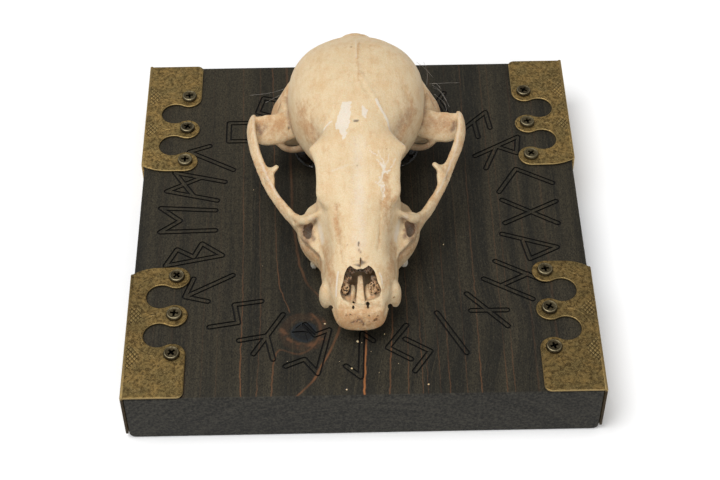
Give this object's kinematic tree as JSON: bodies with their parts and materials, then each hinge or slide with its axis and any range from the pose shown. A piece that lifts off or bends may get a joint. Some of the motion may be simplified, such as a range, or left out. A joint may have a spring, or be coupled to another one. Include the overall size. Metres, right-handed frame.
{
  "type": "raccoon skull wall hanging",
  "caption": "Raccoon skull glued face up on a square stained pine board with brass corner plates and an engraved ring of old alphabet signs.",
  "frame": {"origin": "middle of the board's back face, which lies on the table in the picture", "axes": "+Z out of the board's face, +Y to the edge that is uppermost on the wall, +X to the viewer's right"},
  "size_m": [0.1418, 0.14, 0.0616],
  "materials": {
    "wood": "charcoal-brown stain, rubbed back so the grain lines show orange-brown",
    "brass": "antique brass, mottled olive-brown with a brighter worn rim",
    "screw_metal": "antique bronze plating, satin",
    "hanger_steel": "zinc-plated sheet",
    "bone": "dry ivory bone with tan stain in the hollows, dull with a faint waxy sheen",
    "enamel": "off-white tooth enamel, glossy",
    "glue": "clear hardened glue, glossy"
  },
  "bodies": {
    "root": {"board": "wood", "corner_plate_bottom_left": "brass", "corner_plate_bottom_right": "brass", "corner_plate_top_left": "brass", "corner_plate_top_right": "brass", "plate_screw_bottom_left_1": "screw_metal", "plate_screw_bottom_left_2": "screw_metal", "plate_screw_bottom_left_3": "screw_metal", "plate_screw_bottom_right_1": "screw_metal", "plate_screw_bottom_right_2": "screw_metal", "plate_screw_bottom_right_3": "screw_metal", "plate_screw_top_left_1": "screw_metal", "plate_screw_top_left_2": "screw_metal", "plate_screw_top_left_3": "screw_metal", "plate_screw_top_right_1": "screw_metal", "plate_screw_top_right_2": "screw_metal", "plate_screw_top_right_3": "screw_metal", "hanger": "hanger_steel", "hanger_nail_1": "hanger_steel", "hanger_nail_2": "hanger_steel", "skull": "bone", "tooth_left_premolar_1": "enamel", "tooth_left_premolar_2": "enamel", "tooth_left_premolar_3": "enamel", "tooth_left_premolar_4": "enamel", "tooth_left_molar_1": "enamel", "tooth_left_molar_2": "enamel", "tooth_right_premolar_1": "enamel", "tooth_right_premolar_2": "enamel", "tooth_right_premolar_3": "enamel", "tooth_right_premolar_4": "enamel", "tooth_right_molar_1": "enamel", "tooth_right_molar_2": "enamel", "glue_left": "glue", "glue_right": "glue"}
  },
  "joints": []
}
